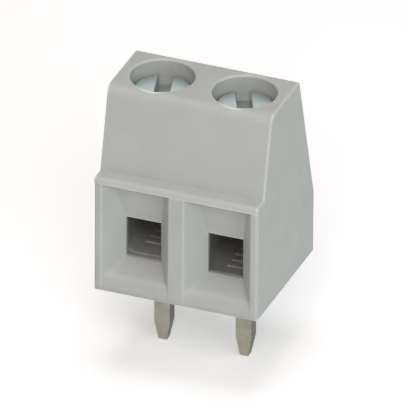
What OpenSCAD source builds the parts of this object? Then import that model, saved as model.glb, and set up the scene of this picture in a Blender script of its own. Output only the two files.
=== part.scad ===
// Two-pole screw terminal for a circuit board, with rising-cage wire clamps.
// X runs along the row of poles, Y from the wire side to the back, and Z up from the board.
// The origin lies on the board's face, midway between the two solder pins. Millimetres.
//
// The sizes stack up from the pieces: the clamp sets the chamber, the chamber and the screw
// set the body's depth and height, and the pitch sets its length.

/* [Poles] */
// Distance from one pole to the next, which is also the width of one pole
pitch = 5.08; // [4.95:0.01:7.62]
// Distance from the body's front face to the middle of the solder pins
pin_setback = 4.85; // [4.4:0.05:5.2]

/* [Screw] */
// Radius of the screw's shank, thread crests included
shank_r = 1.45; // [1.2:0.01:1.5]
// Radius of the screw's head
head_r = 1.75; // [1.65:0.01:1.85]
// Height of the screw's head
head_h = 1.7; // [1.3:0.05:2.2]
// Radius of the rounding on the head's upper edge
head_edge_r = 0.2; // [0.05:0.01:0.3]
// Width of the screwdriver slot
slot_w = 0.87; // [0.6:0.01:1.1]
// Depth of the screwdriver slot
slot_h = 0.83; // [0.5:0.01:1.1]
// Length of the point at the shank's lower end
point_h = 0.35; // [0.1:0.05:0.6]
// Rise of the thread in one turn
thread_pitch = 0.5; // [0.4:0.05:0.7]
// Angle of the first screw's slot from the front-to-back line
slot_angle_1 = 14.5; // [-90:0.5:90]
// Angle of the second screw's slot from the front-to-back line
slot_angle_2 = 25; // [-90:0.5:90]

/* [Clamp cage] */
// Thickness of the sheet that the cage is folded from
sheet_t = 0.45; // [0.35:0.01:0.55]
// Length of the cage from front to back
cage_len = 4.7; // [4:0.05:5.2]
// Height of the threaded block at the cage's top
thread_h = 1.2; // [0.9:0.05:1.6]
// Inner radius of the bends beside the cage's floor
floor_bend_r = 0.9; // [0.4:0.05:1]
// Height of the wire's space under the current bar with the cage right down
wire_h = 3.05; // [2.8:0.05:3.4]
// Upward travel of the cage from its lowest place
travel = 2.65; // [2:0.05:2.65]
// Turns by which the first screw already holds its cage up
raised_turns_1 = 1; // [0:0.1:2]

/* [Contact] */
// Thickness of the strip that the contact is bent from
strip_t = 0.75; // [0.6:0.01:0.9]
// Width of the current bar and of the leg behind the cage
bar_w = 2.6; // [1.6:0.05:2.65]
// Inner radius of the bends behind the cage
strip_bend_r = 0.3; // [0.1:0.05:0.5]
// Width of a solder pin
pin_w = 0.98; // [0.7:0.01:1.3]
// Length of a solder pin below the board's upper face
pin_len = 5.25; // [3:0.05:6]
// Length of the pin's tapered end
pin_taper_h = 1.3; // [0.4:0.05:1.5]
// Width of the pin at its very tip, both ways
pin_tip_w = 0.48; // [0.3:0.01:0.55]
// Radius of the corners at the pin's tip
pin_tip_r = 0.12; // [0.03:0.01:0.15]
// Depth of the foot plate under the cage, from the leg's back face forward
foot_d = 2.3; // [1.5:0.05:2.3]

/* [Grip] */
// Depth of the grip grooves in the current bar and in the cage's floor
grip_h = 0.1; // [0.05:0.01:0.15]
// Distance from one grip groove to the next
grip_step = 0.7; // [0.5:0.05:1]
// Number of grip grooves
grip_count = 4; // [2:1:5]

/* [Housing] */
// Depth of a wire funnel, measured into the front face
funnel_d = 1.5; // [1.2:0.05:1.8]
// Half the width of a funnel's mouth
funnel_half_w = 2.08; // [1.7:0.01:2.15]
// Half the width of the wire hole at the funnel's end
throat_half_w = 1.09; // [0.8:0.01:1.3]
// Length of the straight wire hole behind the funnel
throat_d = 0.35; // [0.25:0.05:0.8]
// Height of the wire hole's sill above the cage's floor at its lowest
sill_h = 0.4; // [0.1:0.05:0.8]
// Height of the front block that carries the funnels
block_h = 7.5; // [7:0.05:8.2]
// Depth of the ledge on top of the front block
ledge_d = 1.03; // [0.6:0.01:1.3]
// Thickness of the lip over a funnel
lip_h = 0.43; // [0.3:0.01:0.7]
// Depth of the funnel under the lip
lip_d = 0.76; // [0.4:0.01:0.95]
// Height of the funnel's ramp where it meets the front
ramp_h = 1.08; // [0.8:0.01:1.3]
// Setback of the posts beside the funnels behind the lip
post_setback = 0.08; // [0.02:0.01:0.15]
// Setback of the ramp's foot behind the posts
ramp_setback = 0.12; // [0.05:0.01:0.3]
// Thickness of the body behind the contact's leg, at the board
back_wall = 1.46; // [1.2:0.01:2.5]
// Height of the upright part of the back
back_h = 3.95; // [1:0.05:4.5]
// Depth of the top in front of a screw hole
rim_front = 0.28; // [0.2:0.01:0.6]
// Depth of the top behind a screw hole
rim_back = 0.34; // [0.25:0.01:1]
// Thickness of the collar that holds the screw's head
collar_t = 0.71; // [0.4:0.05:1]
// Depth of the screw's head below the body's top
head_recess = 0.87; // [0.3:0.01:1.5]

/* [Roundings] */
// Radius along the front edge of the top
top_front_r = 0.7; // [0.2:0.05:1]
// Radius along the front edge of the ledge
ledge_r = 0.35; // [0.15:0.01:0.5]
// Radius along the bend of the back
back_bend_r = 0.6; // [0.3:0.05:2]
// Radius along the rear edge of the top
edge_r = 0.18; // [0.05:0.01:0.3]
// Radius of the front block's edges at both sides
front_edge_r = 0.22; // [0.05:0.01:0.3]
// Radius of the other edges at both sides
side_r = 0.12; // [0.05:0.01:0.2]
// Radius of the posts' edges beside the funnels
post_r = 0.15; // [0.05:0.01:0.25]
// Radius at the top of the posts, under the lip
post_top_r = 0.08; // [0.03:0.01:0.15]
// Radius of the lip's lower edge
lip_edge_r = 0.06; // [0.02:0.01:0.12]
// Radius of the edges along the board
base_r = 0.12; // [0.04:0.01:0.2]
// Width of the bevel round the top of a screw hole
rim_bevel = 0.08; // [0.02:0.01:0.15]

/* [Fits] */
// Gap round the screw's head
head_gap = 0.15; // [0.05:0.01:0.3]
// Gap between the screw and the cage's thread
thread_gap = 0.05; // [0.02:0.01:0.1]
// Gap between the screw's shank and the collar
collar_gap = 0.15; // [0.05:0.01:0.3]
// Gap on each side of the screw inside the cage
shank_clear = 0.08; // [0.06:0.01:0.3]
// Gap between the cage and the chamber's sides
cage_gap = 0.07; // [0.03:0.01:0.12]
// Gap in front of the cage, and behind it to the contact's leg
cage_end_gap = 0.15; // [0.08:0.01:0.3]
// Gap above and below the cage at the ends of its travel
cage_stop_gap = 0.1; // [0.05:0.01:0.2]
// Gap between faces that seat on each other
seat_gap = 0.03; // [0.01:0.01:0.05]
// Height of the contact's foot above the board
foot_lift = 0.1; // [0.05:0.01:0.2]

/* [Hidden] */
$fn = 64;
corner_flat = 12;  // degrees that one flat of a rounded corner turns at most
past = 1;          // how far a cutting tool runs past the face it cuts

// Heights above the board, from the bottom up
foot_top = foot_lift + strip_t;
cage_low = foot_top + cage_stop_gap;
floor_top = cage_low + sheet_t;
bar_z = floor_top + wire_h;
bar_top = bar_z + strip_t;
block_low = bar_top + seat_gap;
cage_h = block_low + thread_h - cage_low;
ceiling = cage_low + cage_h + travel + cage_stop_gap;
shoulder = ceiling + collar_t;
head_low = shoulder + seat_gap;
head_top = head_low + head_h;
body_h = head_top + head_recess;
throat_low = floor_top + sill_h;
throat_top = bar_z - seat_gap;
lip_low = block_h - lip_h;

// Depths behind the front face
chamber_front = funnel_d + throat_d;
cage_front = chamber_front + cage_end_gap;
screw_y = cage_front + cage_len / 2;
leg_front = cage_front + cage_len + cage_end_gap;
leg_back = leg_front + strip_t;
pocket_back = leg_back + seat_gap;
body_d = pocket_back + back_wall;
hole_r = head_r + head_gap;
top_front = screw_y - hole_r - rim_front;
top_back = screw_y + hole_r + rim_back;

// Half widths of one pole
cage_inner = shank_r + shank_clear;
cage_outer = cage_inner + sheet_t;
chamber_half = cage_outer + cage_gap;
foot_half = chamber_half - seat_gap;
body_w = 2 * pitch;

raised_1 = raised_turns_1 * thread_pitch;

housing_grey = [0.71, 0.72, 0.70];
zinc_blue = [0.66, 0.71, 0.74];
cage_steel = [0.62, 0.64, 0.65];
pin_tin = [0.66, 0.65, 0.60];

function pole_x(pole) = (pole - 1.5) * pitch;

// ---- Outlines with rounded corners ----

function unit(v) = v / norm(v);
function turn(a, b, c) = sign((b.x - a.x) * (c.y - b.y) - (b.y - a.y) * (c.x - b.x));

// Points of the rounding at corner b, seen from its neighbours a and c. The outline runs
// anticlockwise.
function rounding(a, b, c, r) =
    let (
        to_a = unit(a - b),
        to_c = unit(c - b),
        half = acos(to_a * to_c) / 2,
        centre = b + unit(to_a + to_c) * r / sin(half),
        first = b + to_a * r / tan(half) - centre,
        start = atan2(first.y, first.x),
        sweep = turn(a, b, c) * (180 - 2 * half),
        steps = ceil(abs(sweep) / corner_flat)
    )
    [for (i = [0:steps])
        let (angle = start + sweep * i / steps)
        centre + r * [cos(angle), sin(angle)]];

// corners is a list of [x, y, radius]. A corner with no radius stays one point.
function outline(corners) =
    let (count = len(corners), at = [for (p = corners) [p.x, p.y]])
    [for (i = [0:count - 1])
        each corners[i].z == 0
            ? [at[i]]
            : rounding(at[(i + count - 1) % count], at[i], at[(i + 1) % count], corners[i].z)];

// Draws children in the Y-Z plane and gives them a width along X
module across(width) rotate([90, 0, 90]) linear_extrude(width, center = true) children();

// Draws children in the X-Z plane and gives them a depth from front to back
module backwards(front, depth)
    translate([0, front + depth, 0]) rotate([90, 0, 0]) linear_extrude(depth) children();

// Moves children from the front face's frame and the pole's own middle to their place
module at_pole(pole) translate([pole_x(pole), -pin_setback, 0]) children();

// ---- Housing ----

// A bar that runs along the face from a to b of a side outline. Its outer side is that face,
// as wide as the body, with both edges rounded.
module face_bar(a, b, r) {
    long = 2 * (body_h + body_d);
    section = [
        [-body_w / 2, -long, 0],
        [body_w / 2, -long, 0],
        [body_w / 2, 0, r],
        [-body_w / 2, 0, r],
    ];
    translate([0, a.x, a.y]) rotate([atan2(a.x - b.x, b.y - a.y), 0, 0])
        linear_extrude(long, center = true) polygon(outline(section));
}

// A side outline drawn across the body, with its side edges rounded. faces is a list of
// [number of the face's first corner, radius of the rounding at both ends of that face].
module rounded_body(side, faces) intersection() {
    across(body_w) polygon(outline(side));
    intersection_for (face = faces)
        face_bar(side[face[0]], side[(face[0] + 1) % len(side)], face[1]);
}

// The posts between the funnels, a little behind the lip
module posts()
    rounded_body([
        [post_setback, 0, base_r],
        [screw_y, 0, 0],
        [screw_y, lip_low, 0],
        [post_setback, lip_low, post_top_r],
    ], [[0, base_r], [3, front_edge_r]]);

// The lip over the funnels and the ledge on top of it
module lip()
    rounded_body([
        [0, lip_low, lip_edge_r],
        [screw_y, lip_low, 0],
        [screw_y, block_h, 0],
        [0, block_h, ledge_r],
    ], [[2, front_edge_r], [3, front_edge_r]]);

module tower()
    rounded_body([
        [ledge_d, 0, 0],
        [body_d, 0, base_r],
        [body_d, back_h, back_bend_r],
        [top_back, body_h, edge_r],
        [top_front, body_h, top_front_r],
        [ledge_d, block_h, 0],
    ], [[0, base_r], [1, side_r], [2, side_r], [3, side_r], [4, side_r]]);

// The funnel and the wire hole behind it, bounded by their side outline one way and by their
// plan the other way
module wire_entry() {
    inside = chamber_front + past / 2;
    side = [
        [-past, -past, 0],
        [post_setback - ramp_setback * past / ramp_h, -past, 0],
        [post_setback + ramp_setback, ramp_h, 0.3],
        [funnel_d, throat_low, 0],
        [inside, throat_low, 0],
        [inside, throat_top, 0],
        [funnel_d, throat_top, 0],
        [lip_d, lip_low, 0],
        [-past, lip_low, 0],
    ];
    plan = [
        [-pitch / 2, -past, 0],
        [pitch / 2, -past, 0],
        [pitch / 2, post_setback, 0],
        [funnel_half_w, post_setback, post_r],
        [throat_half_w, funnel_d, 0],
        [throat_half_w, inside, 0],
        [-throat_half_w, inside, 0],
        [-throat_half_w, funnel_d, 0],
        [-funnel_half_w, post_setback, post_r],
        [-pitch / 2, post_setback, 0],
    ];
    intersection() {
        across(pitch) polygon(outline(side));
        translate([0, 0, -past]) linear_extrude(block_h + 2 * past) polygon(outline(plan));
    }
}

// Room for the cage, and behind it a lower pocket for the contact's leg, open towards the board
module chamber()
    across(2 * chamber_half) polygon([
        [chamber_front, -past],
        [pocket_back, -past],
        [pocket_back, bar_top + seat_gap],
        [leg_front, bar_top + seat_gap],
        [leg_front, ceiling],
        [chamber_front, ceiling],
    ]);

// The stepped hole from the top: bevel, recess for the head, collar round the shank
module screw_hole()
    translate([0, screw_y, 0])
        rotate_extrude() polygon([
            [0, ceiling - past],
            [shank_r + collar_gap, ceiling - past],
            [shank_r + collar_gap, shoulder],
            [hole_r, shoulder],
            [hole_r, body_h - rim_bevel],
            [hole_r + rim_bevel, body_h],
            [hole_r + rim_bevel, body_h + past],
            [0, body_h + past],
        ]);

module housing() color(housing_grey) difference() {
    translate([0, -pin_setback, 0]) {
        posts();
        lip();
        tower();
    }
    for (pole = [1, 2]) at_pole(pole) {
        wire_entry();
        chamber();
        screw_hole();
    }
}

// ---- Contact: current bar, leg, foot and solder pin, bent from one strip ----

function contact_side() = [
    [pin_setback - pin_tip_w / 2, -pin_len, pin_tip_r],
    [pin_setback + pin_tip_w / 2, -pin_len, pin_tip_r],
    [pin_setback + strip_t / 2, pin_taper_h - pin_len, 0],
    [pin_setback + strip_t / 2, foot_lift, foot_lift],
    [leg_back, foot_lift, strip_bend_r + strip_t],
    [leg_back, bar_top, strip_bend_r + strip_t],
    [chamber_front + cage_end_gap / 2, bar_top, 0],
    [chamber_front + cage_end_gap / 2, bar_z, 0],
    [leg_front, bar_z, strip_bend_r],
    [leg_front, foot_top, strip_bend_r],
    [pin_setback - strip_t / 2, foot_top, foot_lift + strip_t],
    [pin_setback - strip_t / 2, pin_taper_h - pin_len, 0],
];

function pin_front() = [
    [-pin_tip_w / 2, -pin_len, pin_tip_r],
    [pin_tip_w / 2, -pin_len, pin_tip_r],
    [pin_w / 2, pin_taper_h - pin_len, 0],
    [pin_w / 2, foot_top, 0],
    [-pin_w / 2, foot_top, 0],
    [-pin_w / 2, pin_taper_h - pin_len, 0],
];

// Grooves that hold the wire, cut into a face at height z. side is 1 for a face that looks
// up and -1 for one that looks down.
module grip(z, width, side)
    for (i = [0:grip_count - 1])
        translate([0, screw_y + (i - (grip_count - 1) / 2) * grip_step, z])
            across(width) polygon([
                [-2 * grip_h, side * grip_h],
                [0, -side * grip_h],
                [2 * grip_h, side * grip_h],
            ]);

module contact(pole) color(pin_tin) at_pole(pole) difference() {
    intersection() {
        across(2 * foot_half) polygon(outline(contact_side()));
        union() {
            backwards(0, leg_back) polygon(outline(pin_front()));
            translate([-foot_half, leg_back - foot_d, 0])
                cube([2 * foot_half, foot_d, foot_top]);
            translate([-bar_w / 2, 0, foot_lift])
                cube([bar_w, leg_back, bar_top - foot_lift]);
        }
    }
    grip(bar_z, bar_w + past, -1);
}

module contact_1() contact(1);
module contact_2() contact(2);

// ---- Clamp cage: a folded frame with a threaded block at its top ----

module cage(pole, raised) color(cage_steel) at_pole(pole) translate([0, 0, raised]) {
    outer_bend = floor_bend_r + sheet_t;
    cage_top = cage_low + cage_h;
    frame = [
        [-cage_outer, cage_low, outer_bend],
        [cage_outer, cage_low, outer_bend],
        [cage_outer, cage_top, sheet_t],
        [-cage_outer, cage_top, sheet_t],
    ];
    window = [
        [-cage_inner, floor_top, floor_bend_r],
        [cage_inner, floor_top, floor_bend_r],
        [cage_inner, block_low, 0],
        [-cage_inner, block_low, 0],
    ];
    difference() {
        backwards(cage_front, cage_len) difference() {
            polygon(outline(frame));
            polygon(outline(window));
        }
        translate([0, screw_y, block_low - past])
            cylinder(h = thread_h + 2 * past, r = shank_r + thread_gap);
        grip(floor_top, 2 * (cage_inner - floor_bend_r), 1);
    }
}

module cage_1() cage(1, raised_1);
module cage_2() cage(2, 0);

// ---- Screw ----

module screw(pole, slot_angle) color(zinc_blue) at_pole(pole) translate([0, screw_y, 0]) {
    tip_z = bar_top + seat_gap;
    edge = [for (a = [0:corner_flat:90])
        [head_r - head_edge_r * (1 - cos(a)), head_top - head_edge_r * (1 - sin(a))]];
    difference() {
        rotate_extrude() polygon(concat(
            [
                [0, tip_z],
                [shank_r - point_h, tip_z],
                [shank_r, tip_z + point_h],
                [shank_r, head_low],
                [head_r, head_low],
            ],
            edge,
            [[0, head_top]]
        ));
        rotate([0, 0, -slot_angle])
            translate([-slot_w / 2, -head_r - past, head_top - slot_h])
                cube([slot_w, 2 * (head_r + past), slot_h + past]);
    }
}

module screw_1() screw(1, slot_angle_1);
module screw_2() screw(2, slot_angle_2);

housing();
contact_1();
contact_2();
cage_1();
cage_2();
screw_1();
screw_2();
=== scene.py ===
"""Looks of the two-pole screw terminal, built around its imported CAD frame.

Everything is in metres in the frame of the part: X along the row of poles, Y from the wire
side to the back, Z up from the board.
"""
import math

import bpy
import numpy as np
from mathutils import Matrix, Vector


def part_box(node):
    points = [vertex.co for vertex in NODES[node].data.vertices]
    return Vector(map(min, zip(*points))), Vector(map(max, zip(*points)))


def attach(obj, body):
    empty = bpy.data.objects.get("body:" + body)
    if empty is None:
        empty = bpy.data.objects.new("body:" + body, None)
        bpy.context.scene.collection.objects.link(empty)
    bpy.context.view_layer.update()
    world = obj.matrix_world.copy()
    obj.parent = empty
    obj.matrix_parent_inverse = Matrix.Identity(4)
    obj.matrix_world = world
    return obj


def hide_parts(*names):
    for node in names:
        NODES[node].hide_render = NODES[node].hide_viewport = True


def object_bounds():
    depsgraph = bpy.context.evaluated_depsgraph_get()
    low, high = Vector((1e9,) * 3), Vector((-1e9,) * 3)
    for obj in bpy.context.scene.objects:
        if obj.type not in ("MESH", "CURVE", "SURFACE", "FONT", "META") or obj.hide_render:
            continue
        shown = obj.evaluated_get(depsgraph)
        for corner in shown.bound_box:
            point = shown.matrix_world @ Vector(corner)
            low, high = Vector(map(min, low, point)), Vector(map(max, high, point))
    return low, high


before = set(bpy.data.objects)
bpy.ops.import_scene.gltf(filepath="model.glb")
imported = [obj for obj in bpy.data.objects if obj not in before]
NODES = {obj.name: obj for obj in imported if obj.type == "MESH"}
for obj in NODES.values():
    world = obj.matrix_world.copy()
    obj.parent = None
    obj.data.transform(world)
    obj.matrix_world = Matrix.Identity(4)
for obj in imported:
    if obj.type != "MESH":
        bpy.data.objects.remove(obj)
CAD_LOW, CAD_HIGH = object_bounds()
MM = 0.001

# ---- Camera: a long lens, from the front right and above ----
CAMERA_AZIMUTH = 21.25
CAMERA_ELEVATION = 29.63
CAMERA_ROLL = 0.43
CAMERA_LENS = 1530.0
CAMERA_SENSOR = 36.0
CAMERA_DISTANCE = 1.0
CAMERA_AIM = (0.0, -0.85, 7.0)      # in millimetres
CAMERA_OFFSET = (-0.182, 2.013)     # in millimetres, to the right and up in the view
CAMERA_CLIP = (0.01, 10)

# ---- Light: name, azimuth, elevation, watts for red, green and blue ----
LAMPS = [
    ("key", 20, 40, (0.387, 0.350, 0.344)),
    ("top", 0, 90, (0.232, 0.224, 0.228)),
    ("front_high", -15, 68, (0.062, 0.064, 0.066)),
    ("cool_fill", 55, 12, (0.186, 0.246, 0.261)),
    ("right", 90, 40, (0.062, 0.064, 0.063)),
    ("left", -50, 40, (0.046, 0.036, 0.028)),
    ("back", 180, 40, (0.050, 0.050, 0.048)),
    ("back_high", 180, 68, (0.020, 0.018, 0.016)),
]
LAMP_DISTANCE = 0.30
LAMP_SIZE = 0.16
LAMP_AIM = Vector((0, 0, 0.005))
WORLD_FILL = 0.06       # the world's light on diffuse surfaces

# ---- Floor ----
FLOOR_HALF = 0.6        # half the side of the square
FLOOR_WHITE = 0.96
FLOOR_GLOW = 0.34       # shows to the camera and in reflections, and lights nothing else

# ---- Grey moulded plastic: linear colours ----
PLASTIC_DARK = (0.444, 0.454, 0.428, 1)
PLASTIC_LIGHT = (0.478, 0.488, 0.460, 1)
PLASTIC_GRAIN = (0.52, 0.53, 0.50, 1)
# painted shade for the walls of the screw wells
PLASTIC_WELL_SHADE = (0.33, 0.335, 0.315, 1)
# painted highlight for the outer edges
PLASTIC_EDGE_HIGHLIGHT = (0.80, 0.805, 0.77, 1)
PLASTIC_ROUGHNESS = (0.44, 0.56)
PLASTIC_IOR = 1.48
GRAIN_SHARE = 0.12      # how much of its colour the grain gives at most
WELL_SHADE_SHARE = 0.08       # and the painted shade on the walls of the screw wells
EDGE_HIGHLIGHT_SHARE = 0.68       # and the painted highlight along the outer edges
EDGE_HIGHLIGHT_REACH = 0.15 * MM  # width of the painted highlight along an outer edge
EDGE_OPEN = (0.96, 0.68)        # openness inside the solid, from a flat face to an edge
CLOUD_SCALE = 420.0     # noises, in waves to the metre
PEEL_SCALE = 2200.0
GRAIN_SCALE = 9000.0
GRAIN_HEIGHT = 0.01 * MM
PEEL_HEIGHT = 0.02 * MM
PLASTIC_RELIEF = 0.2    # strength of both

# ---- Places on the housing that its material knows ----
SCREW_LOW, SCREW_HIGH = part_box("screw_2")
WELL_AXIS = ((SCREW_LOW.x + SCREW_HIGH.x) / 2, (SCREW_LOW.y + SCREW_HIGH.y) / 2, 0.0)
WELL_RADIUS = 1.9 * MM
WELL_SOFT = 0.08 * MM   # fade of the painted shade at the wall of a well
WELL_FLOOR = (4.0 * MM, 5.0 * MM)       # the painted shade on the wall fades in between these heights
FOOT_BLEND = 0.55 * MM  # radius that rounds the foot of the funnels
FOOT_TOP = 1.5 * MM
FOOT_FADE = 0.6 * MM
FOOT_SIDEWAYS = (0.05, 0.25)    # faces turned further to the side stay as they are

# ---- Metals: colour, colour of the stains, roughness, stretch of the grain, darkening of the sides ----
TIN = ((0.40, 0.385, 0.315, 1), (0.32, 0.31, 0.255, 1), 0.45, (1, 1, 0.15), 0.65)
SHEET = ((0.43, 0.43, 0.425, 1), (0.33, 0.33, 0.325, 1), 0.8, (1, 0.15, 1), 0.0)
ZINC = ((0.48, 0.535, 0.53, 1), (0.36, 0.42, 0.425, 1), 0.42, (1, 1, 1), 0.0)
# colour towards which faces turned sideways along X darken
SIDE_DARK = (0.06, 0.058, 0.048, 1)
SIDE_DARK_TURN = (0.35, 0.8)  # faces turned further to the side are darker
GLOSS_SPREAD = (0.06, 0.08)     # how far the roughness strays down and up
ROLLING_SCALE = 9000.0          # noises, in waves to the metre
STAIN_SCALE = 1100.0
ROLLING_RELIEF = 0.35

# ---- Softened edges of the CAD pieces: width and segments ----
HOUSING_EDGE = (0.045 * MM, 3)
CONTACT_EDGE = (0.06 * MM, 3)
CAGE_EDGE = (0.02 * MM, 2)
SHARP_ANGLE = 24        # edges sharper than this many degrees are softened
FLAT_ANGLE = 0.6        # faces within this many degrees are merged
WELD_REACH = 1e-7
FLAT_WEIGHT = 80        # how far flat faces win over rounded edges in the shading

# ---- Screws ----
SCREW_ROUND = 96        # points round a screw
THREAD_PITCH = 0.5 * MM
THREAD_DEPTH = 0.29 * MM
THREAD_ROWS = 14        # rows of points in one turn of thread
THREAD_CREST = 0.86     # where the crest starts, from the groove's middle, in half pitches
THREAD_FLANK = 0.62     # length of the flank, in half pitches
THREAD_RUNOUT = 0.25 * MM
NECK = 0.45 * MM        # unthreaded length under the head
HEAD_HEIGHT = 1.7 * MM
HEAD_FOOT = 0.06 * MM   # chamfer under the head
HEAD_EDGE = 0.2 * MM    # round of the head's upper edge
HEAD_EDGE_STEPS = 7
SHANK_RADIUS = 1.45 * MM
POINT = 0.35 * MM
RING_STEP = 0.032 * MM  # from one turning mark on the head to the next
RING_DEPTH = 0.0022 * MM
SLOT_WIDTH = 0.87 * MM
SLOT_DEPTH = 0.83 * MM
SLOT_CHAMFER = 0.05 * MM
SLOT_FLOOR_ROUND = 0.05 * MM
SLOT_ANGLES = {1: 14.5, 2: 25.0}        # of each screw at rest, in degrees from the Y axis
CUTTER_OVER = 0.1 * MM  # the cutter's height above the head
CUTTER_REACH = 0.5 * MM
SMOOTH_ANGLE = 32       # edges up to this many degrees are shaded smooth


# ---- Node helpers ----

def new_material(name):
    """A material with an empty node tree, and that tree."""
    material = bpy.data.materials.new(name)
    material.use_nodes = True
    material.node_tree.nodes.clear()
    return material, material.node_tree


def add(tree, kind, **values):
    """A node with its properties and unlinked inputs set by name."""
    made = tree.nodes.new(kind)
    for key, value in values.items():
        if hasattr(made, key):
            setattr(made, key, value)
        else:
            made.inputs[key.replace("_", " ")].default_value = value
    return made


def noise(tree, vector, scale, detail=3.0, roughness=0.5):
    made = add(tree, "ShaderNodeTexNoise", Scale=scale, Detail=detail, Roughness=roughness)
    tree.links.new(vector, made.inputs["Vector"])
    return made.outputs["Fac"]


def ramp(tree, value, low, high, out_low, out_high):
    """Maps low to high on out_low to out_high, and holds both ends."""
    made = add(tree, "ShaderNodeMapRange")
    tree.links.new(value, made.inputs["Value"])
    made.inputs["From Min"].default_value = low
    made.inputs["From Max"].default_value = high
    made.inputs["To Min"].default_value = out_low
    made.inputs["To Max"].default_value = out_high
    return made.outputs["Result"]


def mix_colour(tree, factor, first, second):
    made = tree.nodes.new("ShaderNodeMix")
    made.data_type = "RGBA"
    sockets = (made.inputs[0], made.inputs[6], made.inputs[7])
    for socket, value in zip(sockets, (factor, first, second)):
        if isinstance(value, bpy.types.NodeSocket):
            tree.links.new(value, socket)
        else:
            socket.default_value = value
    return made.outputs[2]


def calculate(tree, operation, first, second=None):
    """The result of a math node on sockets and numbers."""
    made = add(tree, "ShaderNodeMath", operation=operation)
    for socket, value in zip(made.inputs, (first, second)):
        if isinstance(value, bpy.types.NodeSocket):
            tree.links.new(value, socket)
        elif value is not None:
            socket.default_value = value
    return made.outputs[0]


def split_up(tree, vector):
    """The X, Y and Z sockets of a vector."""
    made = add(tree, "ShaderNodeSeparateXYZ")
    tree.links.new(vector, made.inputs[0])
    return made.outputs


def bump(tree, height, strength, distance, normal=None):
    made = add(tree, "ShaderNodeBump", Strength=strength, Distance=distance)
    tree.links.new(height, made.inputs["Height"])
    if normal is not None:
        tree.links.new(normal, made.inputs["Normal"])
    return made.outputs["Normal"]


def object_place(tree):
    return add(tree, "ShaderNodeTexCoord").outputs["Object"]


def surface(tree, shader):
    out = add(tree, "ShaderNodeOutputMaterial")
    tree.links.new(shader, out.inputs["Surface"])


def background_rays(tree):
    """1 for camera, glossy and transmission rays, which see the plain background."""
    path = add(tree, "ShaderNodeLightPath").outputs
    seen = calculate(tree, "MAXIMUM", path["Is Camera Ray"], path["Is Glossy Ray"])
    return calculate(tree, "MAXIMUM", seen, path["Is Transmission Ray"])


def edge_highlight_mask(tree, reach):
    """Painted highlight: 0 on flat faces and in corners, rising to 1 along outer edges."""
    inner = add(tree, "ShaderNodeAmbientOcclusion", samples=6, inside=True, only_local=True)
    inner.inputs["Distance"].default_value = reach
    return ramp(tree, inner.outputs["AO"], *EDGE_OPEN, 0.0, 1.0)


def well_shade_mask(tree, place, strength):
    """Painted shade on the walls of the two screw wells, which mirror each other: strength there,
    0 elsewhere.
    """
    split = split_up(tree, place)
    offset = add(tree, "ShaderNodeCombineXYZ")
    tree.links.new(calculate(tree, "ABSOLUTE", split["X"]), offset.inputs["X"])
    tree.links.new(split["Y"], offset.inputs["Y"])
    away = add(tree, "ShaderNodeVectorMath", operation="DISTANCE")
    tree.links.new(offset.outputs[0], away.inputs[0])
    away.inputs[1].default_value = WELL_AXIS
    outer = WELL_RADIUS + WELL_SOFT
    inside = ramp(tree, away.outputs["Value"], WELL_RADIUS, outer, strength, 0.0)
    high_up = ramp(tree, split["Z"], *WELL_FLOOR, 0.0, 1.0)
    return calculate(tree, "MULTIPLY", inside, high_up)


def blended_foot(tree, place):
    """The true normal, but rounded widely low down, where the funnels' floors meet the foot."""
    wide = add(tree, "ShaderNodeBevel", samples=8, Radius=FOOT_BLEND)
    plain = add(tree, "ShaderNodeNewGeometry").outputs["Normal"]
    height = split_up(tree, place)["Z"]
    low_down = ramp(tree, height, FOOT_TOP, FOOT_TOP + FOOT_FADE, 1.0, 0.0)
    sideways = calculate(tree, "ABSOLUTE", split_up(tree, plain)["X"])
    not_sideways = ramp(tree, sideways, *FOOT_SIDEWAYS, 1.0, 0.0)
    mixed = tree.nodes.new("ShaderNodeMix")
    mixed.data_type = "VECTOR"
    tree.links.new(calculate(tree, "MULTIPLY", low_down, not_sideways), mixed.inputs[0])
    tree.links.new(plain, mixed.inputs[4])
    tree.links.new(wide.outputs["Normal"], mixed.inputs[5])
    return mixed.outputs[1]


# ---- Materials ----

def plastic_material():
    """Grey moulded polyamide: fine eroded grain, faint flow clouds, satin finish, with painted
    shade in the screw wells and painted highlights along outer edges.
    """
    material, tree = new_material("housing_plastic")
    place = object_place(tree)
    cloud = noise(tree, place, CLOUD_SCALE, 3.0, 0.55)
    grain = noise(tree, place, GRAIN_SCALE, 2.0, 0.6)
    peel = noise(tree, place, PEEL_SCALE, 3.0, 0.5)
    clouds = ramp(tree, cloud, 0.3, 0.7, 0.0, 1.0)
    base = mix_colour(tree, clouds, PLASTIC_DARK, PLASTIC_LIGHT)
    grains = ramp(tree, grain, 0.4, 0.75, 0.0, GRAIN_SHARE)
    base = mix_colour(tree, grains, base, PLASTIC_GRAIN)
    # painted shade on the walls of the screw wells
    base = mix_colour(tree, well_shade_mask(tree, place, WELL_SHADE_SHARE), base, PLASTIC_WELL_SHADE)
    # painted highlight along the outer edges
    edges = calculate(tree, "MULTIPLY", edge_highlight_mask(tree, EDGE_HIGHLIGHT_REACH), EDGE_HIGHLIGHT_SHARE)
    base = mix_colour(tree, edges, base, PLASTIC_EDGE_HIGHLIGHT)
    bsdf = add(tree, "ShaderNodeBsdfPrincipled")
    tree.links.new(base, bsdf.inputs["Base Color"])
    tree.links.new(ramp(tree, peel, 0.3, 0.7, *PLASTIC_ROUGHNESS), bsdf.inputs["Roughness"])
    bsdf.inputs["IOR"].default_value = PLASTIC_IOR
    normal = bump(tree, grain, PLASTIC_RELIEF, GRAIN_HEIGHT, blended_foot(tree, place))
    normal = bump(tree, peel, PLASTIC_RELIEF, PEEL_HEIGHT, normal)
    tree.links.new(normal, bsdf.inputs["Normal"])
    surface(tree, bsdf.outputs["BSDF"])
    return material


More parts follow.
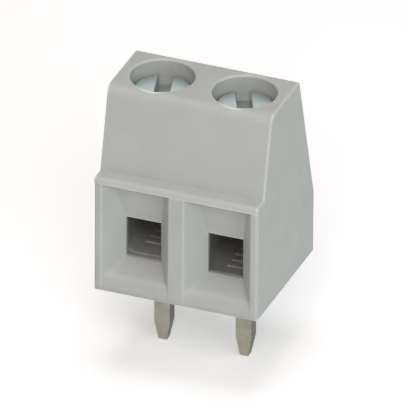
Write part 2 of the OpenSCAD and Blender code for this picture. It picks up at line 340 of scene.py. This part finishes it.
def metal_material(name, colour, stain, roughness, stretch, side_darkening):
    """Plated metal with a stretched grain, faint stains, uneven gloss and darker faces turned
    sideways along X.
    """
    material, tree = new_material(name)
    place = object_place(tree)
    mapping = add(tree, "ShaderNodeMapping")
    tree.links.new(place, mapping.inputs["Vector"])
    mapping.inputs["Scale"].default_value = stretch
    lines = noise(tree, mapping.outputs["Vector"], ROLLING_SCALE, 4.0, 0.6)
    patches = noise(tree, place, STAIN_SCALE, 4.0, 0.6)
    base = mix_colour(tree, ramp(tree, patches, 0.35, 0.7, 0.0, 1.0), colour, stain)
    if side_darkening:
        facing = split_up(tree, add(tree, "ShaderNodeTexCoord").outputs["Normal"])
        sideways = calculate(tree, "ABSOLUTE", facing["X"])
        dull = ramp(tree, sideways, *SIDE_DARK_TURN, 0.0, side_darkening)
        base = mix_colour(tree, dull, base, SIDE_DARK)
    bsdf = add(tree, "ShaderNodeBsdfPrincipled")
    tree.links.new(base, bsdf.inputs["Base Color"])
    bsdf.inputs["Metallic"].default_value = 1.0
    smooth, rough = roughness - GLOSS_SPREAD[0], roughness + GLOSS_SPREAD[1]
    tree.links.new(ramp(tree, patches, 0.3, 0.7, smooth, rough), bsdf.inputs["Roughness"])
    normal = bump(tree, lines, ROLLING_RELIEF, GRAIN_HEIGHT)
    tree.links.new(normal, bsdf.inputs["Normal"])
    surface(tree, bsdf.outputs["BSDF"])
    return material


def floor_material():
    """Plain white that takes the shadow, with a glow that only shows."""
    material, tree = new_material("floor")
    glow = add(tree, "ShaderNodeEmission", Color=(1, 1, 1, 1))
    strength = ramp(tree, background_rays(tree), 0, 1, 0, FLOOR_GLOW)
    tree.links.new(strength, glow.inputs["Strength"])
    diffuse = add(tree, "ShaderNodeBsdfDiffuse", Color=(FLOOR_WHITE, FLOOR_WHITE, FLOOR_WHITE, 1))
    both = add(tree, "ShaderNodeAddShader")
    tree.links.new(glow.outputs[0], both.inputs[0])
    tree.links.new(diffuse.outputs[0], both.inputs[1])
    surface(tree, both.outputs[0])
    return material


# ---- Meshes ----

def link(name, data):
    made = bpy.data.objects.new(name, data)
    bpy.context.scene.collection.objects.link(made)
    return made


def dress_node(node, material, width, segments):
    """Gives a CAD node its material and softens its sharp edges."""
    piece = NODES[node]
    piece.data.materials.clear()
    piece.data.materials.append(material)
    for face in piece.data.polygons:
        face.use_smooth = True
    weld = piece.modifiers.new("weld", "WELD")
    weld.merge_threshold = WELD_REACH
    if node != "housing":
        # the housing's flat faces have openings, which merged faces would close
        flat = piece.modifiers.new("flat", "DECIMATE")
        flat.decimate_type = "DISSOLVE"
        flat.angle_limit = math.radians(FLAT_ANGLE)
    edge = piece.modifiers.new("edge", "BEVEL")
    edge.width = width
    edge.segments = segments
    edge.limit_method = "ANGLE"
    edge.angle_limit = math.radians(SHARP_ANGLE)
    edge.miter_outer = "MITER_ARC"
    normals = piece.modifiers.new("normals", "WEIGHTED_NORMAL")
    normals.weight = FLAT_WEIGHT


def thread_depth(turns):
    """Depth of the thread's groove, 0 to 1, where turns counts turns along the helix."""
    across = np.abs(turns % 1.0 - 0.5) * 2.0
    return np.clip((THREAD_CREST - across) / THREAD_FLANK, 0.0, 1.0)


def screw_rows(low, high, head_radius):
    """Rows of (height, radius at each point round the screw), from the tip to the top."""
    angle = np.arange(SCREW_ROUND) * 2 * math.pi / SCREW_ROUND
    head_low = high - HEAD_HEIGHT
    rows = []
    count = int((head_low - low) / THREAD_PITCH * THREAD_ROWS)
    for i in range(count + 1):
        z = low + (head_low - low) * i / count
        cone = SHANK_RADIUS - POINT + (z - low)
        fade = min(1.0, max(0.0, (head_low - NECK - z) / THREAD_RUNOUT))
        groove = thread_depth(z / THREAD_PITCH - angle / (2 * math.pi)) * THREAD_DEPTH * fade
        rows.append((z, np.minimum(SHANK_RADIUS - groove, cone)))
    rows.append((head_low, np.full(SCREW_ROUND, head_radius - HEAD_FOOT)))
    rows.append((head_low + HEAD_FOOT, np.full(SCREW_ROUND, head_radius)))
    for i in range(HEAD_EDGE_STEPS + 1):
        turn = math.pi / 2 * i / HEAD_EDGE_STEPS
        radius = head_radius - HEAD_EDGE * (1 - math.cos(turn))
        rows.append((high - HEAD_EDGE * (1 - math.sin(turn)), np.full(SCREW_ROUND, radius)))
    radius = head_radius - HEAD_EDGE - RING_STEP
    mark = 0
    while radius > 2 * RING_STEP:
        mark = 1 - mark
        rows.append((high - mark * RING_DEPTH, np.full(SCREW_ROUND, radius)))
        radius -= RING_STEP
    return angle, rows


def lathe_mesh(name, centre, angle, rows):
    """A closed mesh from rows of radii round a vertical line."""
    points = []
    faces = []
    for z, radius in rows:
        for a, r in zip(angle, radius):
            points.append((centre.x + r * math.cos(a), centre.y + r * math.sin(a), z))
    for row in range(len(rows) - 1):
        first, second = row * SCREW_ROUND, (row + 1) * SCREW_ROUND
        for i in range(SCREW_ROUND):
            j = (i + 1) % SCREW_ROUND
            faces.append((first + i, first + j, second + j, second + i))
    faces.append(tuple(reversed(range(SCREW_ROUND))))
    faces.append(tuple(range((len(rows) - 1) * SCREW_ROUND, len(rows) * SCREW_ROUND)))
    mesh = bpy.data.meshes.new(name)
    mesh.from_pydata(points, [], faces)
    return mesh


def slot_cutter(centre, high, head_radius, slot_angle):
    """A bar that saws a screw's slot: straight sides, a rounded floor and chamfered lips."""
    half, flare, over = SLOT_WIDTH / 2, SLOT_CHAMFER, CUTTER_OVER
    floor_r = SLOT_FLOOR_ROUND
    section = [(-half + floor_r, -SLOT_DEPTH), (half - floor_r, -SLOT_DEPTH),
               (half, -SLOT_DEPTH + floor_r), (half, -flare), (half + flare + over, over),
               (-half - flare - over, over), (-half, -flare), (-half, -SLOT_DEPTH + floor_r)]
    reach = head_radius + CUTTER_REACH
    points = [(x, y, high + z) for y in (-reach, reach) for x, z in section]
    n = len(section)
    faces = [tuple(range(n)), tuple(reversed(range(n, 2 * n)))]
    faces += [(i, n + i, n + (i + 1) % n, (i + 1) % n) for i in range(n)]
    mesh = bpy.data.meshes.new("cutter")
    mesh.from_pydata(points, [], faces)
    mesh.transform(Matrix.Rotation(math.radians(slot_angle), 4, "Z"))
    mesh.transform(Matrix.Translation((centre.x, centre.y, 0)))
    return link("cutter", mesh)


def build_screw(pole, slot_angle, material):
    """A turned screw with a real thread and a sawn slot, in place of the plain CAD solid."""
    node = f"screw_{pole}"
    low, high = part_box(node)
    centre = (low + high) / 2
    head_radius = (high.x - low.x) / 2
    angle, rows = screw_rows(low.z, high.z, head_radius)
    screw = link(f"screw_{pole}_turned", lathe_mesh(f"screw_{pole}_turned", centre, angle, rows))
    cutter = slot_cutter(centre, high.z, head_radius, slot_angle)
    cut = screw.modifiers.new("slot", "BOOLEAN")
    cut.operation = "DIFFERENCE"
    cut.solver = "EXACT"
    cut.object = cutter
    bpy.context.view_layer.update()
    depsgraph = bpy.context.evaluated_depsgraph_get()
    mesh = bpy.data.meshes.new_from_object(screw.evaluated_get(depsgraph))
    screw.modifiers.clear()
    screw.data = mesh
    bpy.data.objects.remove(cutter)
    for face in mesh.polygons:
        face.use_smooth = True
    mesh.set_sharp_from_angle(angle=math.radians(SMOOTH_ANGLE))
    mesh.materials.clear()
    mesh.materials.append(material)
    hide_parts(node)
    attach(screw, node)


# ---- Stage: floor, light, camera ----

def build_floor(height):
    corners = [(-1, -1), (1, -1), (1, 1), (-1, 1)]
    points = [(FLOOR_HALF * x, FLOOR_HALF * y, height) for x, y in corners]
    mesh = bpy.data.meshes.new("floor")
    mesh.from_pydata(points, [], [(0, 1, 2, 3)])
    mesh.materials.append(floor_material())
    link("floor", mesh)


def build_world():
    """White where it is seen or reflected, and a faint even light elsewhere."""
    world = bpy.data.worlds.new("studio")
    bpy.context.scene.world = world
    world.use_nodes = True
    tree = world.node_tree
    tree.nodes.clear()
    level = ramp(tree, background_rays(tree), 0, 1, WORLD_FILL, 1.0)
    light = add(tree, "ShaderNodeBackground", Color=(1, 1, 1, 1))
    tree.links.new(level, light.inputs["Strength"])
    out = add(tree, "ShaderNodeOutputWorld")
    tree.links.new(light.outputs[0], out.inputs["Surface"])


def build_lamp(name, azimuth, elevation, watts):
    """A round lamp at a compass place round the part; azimuth 0 is the wire side."""
    turn, rise = math.radians(azimuth), math.radians(elevation)
    across = math.cos(rise)
    away = Vector((math.sin(turn) * across, -math.cos(turn) * across, math.sin(rise)))
    power = max(watts)
    data = bpy.data.lights.new(name, "AREA")
    data.shape = "DISK"
    data.size = LAMP_SIZE
    data.energy = power
    data.color = [w / power for w in watts]
    lamp = link(name, data)
    lamp.location = LAMP_AIM + away * LAMP_DISTANCE
    lamp.rotation_mode = "QUATERNION"
    lamp.rotation_quaternion = (-away).to_track_quat("-Z", "Y")


def build_camera():
    """A camera with a long lens, turned to the part's azimuth, elevation and roll."""
    azimuth = math.radians(CAMERA_AZIMUTH)
    elevation = math.radians(CAMERA_ELEVATION)
    roll = math.radians(CAMERA_ROLL)
    forward = Vector((-math.sin(azimuth) * math.cos(elevation),
                      math.cos(azimuth) * math.cos(elevation), -math.sin(elevation)))
    level = Vector((math.cos(azimuth), math.sin(azimuth), 0))
    rise = level.cross(forward)
    right = level * math.cos(roll) + rise * math.sin(roll)
    up = -level * math.sin(roll) + rise * math.cos(roll)
    aim = (Vector(CAMERA_AIM) - right * CAMERA_OFFSET[0] - up * CAMERA_OFFSET[1]) * MM
    data = bpy.data.cameras.new("camera")
    data.lens = CAMERA_LENS
    data.sensor_width = CAMERA_SENSOR
    data.clip_start, data.clip_end = CAMERA_CLIP
    camera = link("camera", data)
    turned = Matrix((right, up, -forward)).transposed().to_4x4()
    camera.matrix_world = Matrix.Translation(aim - forward * CAMERA_DISTANCE) @ turned
    bpy.context.scene.camera = camera


plastic = plastic_material()
tin = metal_material("contact_strip", *TIN)
sheet = metal_material("cage_sheet", *SHEET)
zinc = metal_material("screw_steel", *ZINC)

dress_node("housing", plastic, *HOUSING_EDGE)
for pole in (1, 2):
    dress_node(f"contact_{pole}", tin, *CONTACT_EDGE)
    dress_node(f"cage_{pole}", sheet, *CAGE_EDGE)
for pole, slot_angle in SLOT_ANGLES.items():
    build_screw(pole, slot_angle, zinc)

build_floor(CAD_LOW.z)
build_world()
for lamp in LAMPS:
    build_lamp(*lamp)
build_camera()
bpy.context.scene.view_settings.view_transform = "Standard"
